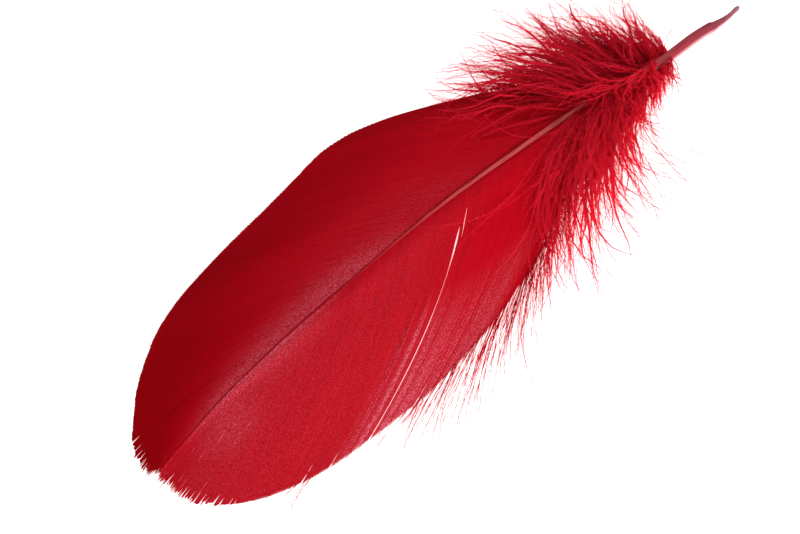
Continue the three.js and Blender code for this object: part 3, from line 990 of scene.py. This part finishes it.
def make_shaft(settings):
    """The quill and rachis as one closed tube, with the sheath's torn step near the quill's end and a
    furrow along the rachis's underside."""
    along = np.linspace(0, 1, SHAFT_RINGS) ** 1.35
    s = SHAFT_END * along[:, None]
    round_it = 2 * math.pi * np.arange(SHAFT_SIDES) / SHAFT_SIDES
    radius = shaft_diameter(s) / 2 * np.ones_like(round_it)
    torn = 0.35 * np.sin(2 * round_it + 0.6) + 0.2 * np.sin(5 * round_it)
    sheath = 1 / (1 + np.exp(-(s - SHEATH_AT - torn) / 0.1))
    radius *= 1 + SHEATH_STEP * sheath * hump(s, SHEATH_AT + 0.2, 1.6)
    radius *= 1 - FURROW_DEPTH * fade(s, 40, 60) * hump(round_it, 1.5 * math.pi, 0.35)
    radius *= 1 + 0.012 * np.sin(7 * round_it + 0.3 * s) * fade(s, 0, 10)
    # The quill is round. The rachis has a flattened back and sides.
    power = 2 + 1.8 * fade(s, 36, 56)
    radius /= (np.abs(np.cos(round_it)) ** power + np.abs(np.sin(round_it)) ** power) ** (1 / power)
    places = on_shaft(s + 0 * radius, radius * np.cos(round_it), radius * np.sin(round_it))
    mesh = bpy.data.meshes.new("quill_and_rachis")
    ring = np.arange(SHAFT_SIDES)
    faces = []
    after = (ring + 1) % SHAFT_SIDES
    for k in range(SHAFT_RINGS - 1):
        low, high = k * SHAFT_SIDES, (k + 1) * SHAFT_SIDES
        faces += np.stack([low + ring, low + after, high + after, high + ring], -1).tolist()
    faces.append(ring[::-1].tolist())
    faces.append((ring + (SHAFT_RINGS - 1) * SHAFT_SIDES).tolist())
    mesh.from_pydata(in_frame(places.reshape(-1, 3)), [], faces)
    leftward = np.cos(round_it) + 0 * s
    # Painted shade: darker on the rachis's right side and left edge, on the quill's left edge and beside
    # its pale strip; painted highlight: a pale strip along the quill's right side.
    quill = fade(s, 30, 20)
    rachis_shade = np.interp(leftward, [-1, -0.8, -0.4, 0.3, 0.9, 1], [1, 0.6, 0.18, 0, 0, 0.7])
    quill_shade = np.interp(leftward, [-0.82, -0.7, -0.3, 0.3, 1], [0, 0.4, 0.15, 0, 0.7])
    store(mesh, {
        "along": along[:, None] + 0 * radius,
        "painted_side_shade": quill * quill_shade + (1 - quill) * rachis_shade,
        "pale": quill * np.interp(leftward, [-1, -0.88, -0.76], [0.8, 0.7, 0]),
    })
    mesh.shade_smooth()
    mesh.materials.append(shaft_material(settings))
    declare(new_object("quill_and_rachis", mesh), "shaft")


# ---------------------------------------------------------------- settings, operators and panel


def length_property(name, description, default_mm):
    return bpy.props.FloatProperty(
        name=name, description=description, default=default_mm * MM, precision=5, unit="LENGTH"
    )


def colour_property(name, description, default):
    return bpy.props.FloatVectorProperty(
        name=name, description=description, default=linear(default)[:3], subtype="COLOR", size=3
    )


class FeatherVaneSettings(bpy.types.PropertyGroup):
    barbs: bpy.props.IntProperty(name="Barbs", description="Barbs in each vane", default=222)
    barb_width: length_property("Barb width", "Width of a barb with its barbules", 0.46)
    rib_height: length_property("Rib height", "How far a barb's rib stands above its barbules", 0.03)
    keel_depth: length_property("Keel depth", "How far a barb's rib reaches below its barbules", 0.12)
    shelf_lift: length_property("Shelf lift", "How much higher a barb's outer barbules lie", 0.055)
    vane_dark: colour_property("Dark", "Where the dye took most", "#9E020B")
    vane_light: colour_property("Light", "Where the dye took least", "#CC071D")
    # The colour of the painted sheen on the vanes.
    vane_silk: colour_property("Silk", "Grains of silky barbules", "#F48096")


class FeatherDownSettings(bpy.types.PropertyGroup):
    tufts: bpy.props.IntProperty(name="Tufts", description="Tufts of down on each side", default=40)
    undercoat: bpy.props.IntProperty(
        name="Undercoat", description="Undercoat strands on the right", default=300
    )
    wisps: bpy.props.IntProperty(name="Wisps", description="Curling bare strands a side", default=70)
    loose_barbs: bpy.props.IntProperty(
        name="Loose barbs", description="Free barbs on the right", default=340
    )
    stem_radius: length_property("Stem radius", "Radius of a downy barb at its root", 0.05)
    barbule_length: length_property("Barbule length", "Length of the longest barbules", 1.9)
    barbule_radius: length_property("Barbule radius", "Radius of a barbule at its root", 0.06)
    down_dark: colour_property("Dark", "Deepest red of the down", "#80020C")
    down_light: colour_property("Light", "Lightest red of the down", "#F41C32")


class FeatherShaftSettings(bpy.types.PropertyGroup):
    # The streak colour, also used for the painted shade on the shaft's sides.
    shaft_streak_and_shade: colour_property("Streaks", "Dark streaks along the quill", "#7A0C1A")
    # The colour of the painted highlight along the quill's right side.
    shaft_highlight: colour_property("Pale", "The quill's undyed right side", "#D8A0A4")


class FeatherStageSettings(bpy.types.PropertyGroup):
    floor_size: bpy.props.FloatProperty(
        name="Floor size", description="Side of the floor", default=6.0, unit="LENGTH"
    )
    floor_colour: colour_property("Floor", "Colour of the floor", "#F4F4F4")


class FEATHER_OT_shaft(bpy.types.Operator):
    """Make the quill and rachis"""

    bl_idname = "feather.shaft"
    bl_label = "Quill and rachis"

    def execute(self, context):
        make_shaft(context.scene.feather_shaft)
        return {"FINISHED"}


class FEATHER_OT_vanes(bpy.types.Operator):
    """Make both vanes, barb by barb"""

    bl_idname = "feather.vanes"
    bl_label = "Vanes"

    def execute(self, context):
        settings = context.scene.feather_vanes
        material, tree = barb_material(settings), barb_tree()
        for side in (LEFT, RIGHT):
            make_vane(side, settings, material, tree)
        return {"FINISHED"}


class FEATHER_OT_down(bpy.types.Operator):
    """Make the down and the loose barbs"""

    bl_idname = "feather.down"
    bl_label = "Down"

    def execute(self, context):
        settings = context.scene.feather_down
        material, tree = down_material(settings), down_tree()
        rng = np.random.default_rng(DOWN_SEED)
        under = {side: settings.undercoat + extra for side, extra in EXTRA_UNDERCOAT.items()}
        made_of = [
            ("down_left_tufts", tufted_down(rng, LEFT, settings.tufts), "tufts"),
            ("down_right_tufts", tufted_down(rng, RIGHT, settings.tufts), "tufts"),
            ("undercoat_left", undercoat(rng, LEFT, under[LEFT]), "undercoat"),
            ("undercoat_right", undercoat(rng, RIGHT, under[RIGHT]), "undercoat"),
            ("covering_tufts", covering_down(rng), "covering"),
            ("wisps_left", wisps(rng, LEFT, settings.wisps), "wisps"),
            ("wisps_right", wisps(rng, RIGHT, settings.wisps), "wisps"),
            ("loose_barbs", edge_hairs(rng, settings.loose_barbs), "hairs"),
            ("stray_strands", stray_lines(rng), "strays"),
        ]
        for name, lines, kind in made_of:
            node = "down_left" if "left" in name or kind == "covering" else "down_right"
            make_down(name, node, lines, rng, settings, material, tree, kind)
        return {"FINISHED"}


CAMERA_AZIMUTH = -40.72
CAMERA_ELEVATION = 70
CAMERA_DISTANCE = 419.0
CAMERA_AIM = (101.8, 0.0, 0.0)
CAMERA_LENS = 85.0
LAMP_DISTANCE = 1.0  # metres
SOFTBOXES = [  # name, azimuth, elevation, size in metres, power in watts
    ("key_softbox", 0, 25, 0.4, 9.3),
    ("side_softbox", 120, 25, 0.4, 5.7),
    ("end_softbox", 300, 25, 0.4, 4.2),
    ("top_softbox", 140, 76, 0.25, 1.4),
]


def seen_from(azimuth, elevation):
    """The direction from the feather to a camera or lamp there, and the turn that faces the feather."""
    a, e = math.radians(azimuth), math.radians(elevation)
    direction = np.array([math.sin(a) * math.cos(e), -math.cos(a) * math.cos(e), math.sin(e)])
    return direction, (math.pi / 2 - e, 0, a)


def soft_light(name, azimuth, elevation, size, power):
    """A square softbox that faces the middle of the feather."""
    lamp = bpy.data.lights.new(name, "AREA")
    lamp.shape = "SQUARE"
    lamp.size = size
    lamp.energy = power
    light = new_object(name, lamp)
    direction, light.rotation_euler = seen_from(azimuth, elevation)
    light.location = direction * LAMP_DISTANCE


class FEATHER_OT_stage(bpy.types.Operator):
    """Make the floor, the lights and the camera"""

    bl_idname = "feather.stage"
    bl_label = "Stage"

    def execute(self, context):
        settings = context.scene.feather_stage
        half = settings.floor_size / 2
        mesh = bpy.data.meshes.new("floor")
        corners = [(-half, -half, 0), (half, -half, 0), (half, half, 0), (-half, half, 0)]
        mesh.from_pydata(corners, [], [(0, 1, 2, 3)])
        # White acrylic sheet, cast smooth and lit from behind: an even, matt, nearly white ground.
        material, tree = new_material("white_backlit_acrylic")
        shader = add(tree, "ShaderNodeBsdfPrincipled", {
            "Base Color": (*settings.floor_colour, 1.0), "Roughness": 0.8, "Specular IOR Level": 0.1,
            "Emission Color": (1.0, 1.0, 1.0, 1.0), "Emission Strength": 0.9,
        })
        add(tree, "ShaderNodeOutputMaterial", {"Surface": shader})
        mesh.materials.append(material)
        new_object("floor", mesh)

        for softbox in SOFTBOXES:
            soft_light(*softbox)
        world = bpy.data.worlds.new("studio")
        world.use_nodes = True
        background = world.node_tree.nodes["Background"].inputs
        background["Color"].default_value = (1, 1, 1, 1)
        background["Strength"].default_value = 0.01
        context.scene.world = world
        context.scene.view_settings.view_transform = "Standard"

        lens = bpy.data.cameras.new("camera")
        lens.lens = CAMERA_LENS
        lens.clip_start = 0.01
        camera = new_object("camera", lens)
        direction, camera.rotation_euler = seen_from(CAMERA_AZIMUTH, CAMERA_ELEVATION)
        camera.location = in_frame(CAMERA_AIM) + direction * CAMERA_DISTANCE * MM
        context.scene.camera = camera
        return {"FINISHED"}


class FEATHER_PT_panel(bpy.types.Panel):
    """Lists the feather's pieces and the stage"""

    bl_idname = "FEATHER_PT_panel"
    bl_label = "Goose feather"
    bl_space_type = "VIEW_3D"
    bl_region_type = "UI"
    bl_category = "Feather"

    def draw(self, context):
        for settings, operator in (
            ("feather_shaft", "feather.shaft"), ("feather_vanes", "feather.vanes"),
            ("feather_down", "feather.down"), ("feather_stage", "feather.stage"),
        ):
            box = self.layout.box()
            group = getattr(context.scene, settings)
            for name in group.bl_rna.properties.keys():
                if name not in ("rna_type", "name"):
                    box.prop(group, name)
            box.operator(operator)


SETTINGS = {
    "feather_shaft": FeatherShaftSettings,
    "feather_vanes": FeatherVaneSettings,
    "feather_down": FeatherDownSettings,
    "feather_stage": FeatherStageSettings,
}
CLASSES = (
    *SETTINGS.values(), FEATHER_OT_shaft, FEATHER_OT_vanes, FEATHER_OT_down, FEATHER_OT_stage,
    FEATHER_PT_panel,
)


def register():
    for cls in CLASSES:
        bpy.utils.register_class(cls)
    for name, cls in SETTINGS.items():
        setattr(bpy.types.Scene, name, bpy.props.PointerProperty(type=cls))


def unregister():
    for name in SETTINGS:
        delattr(bpy.types.Scene, name)
    for cls in reversed(CLASSES):
        bpy.utils.unregister_class(cls)


def main():
    register()
    bpy.ops.feather.shaft()
    bpy.ops.feather.vanes()
    bpy.ops.feather.down()
    bpy.ops.feather.stage()


if __name__ == "__main__":
    main()
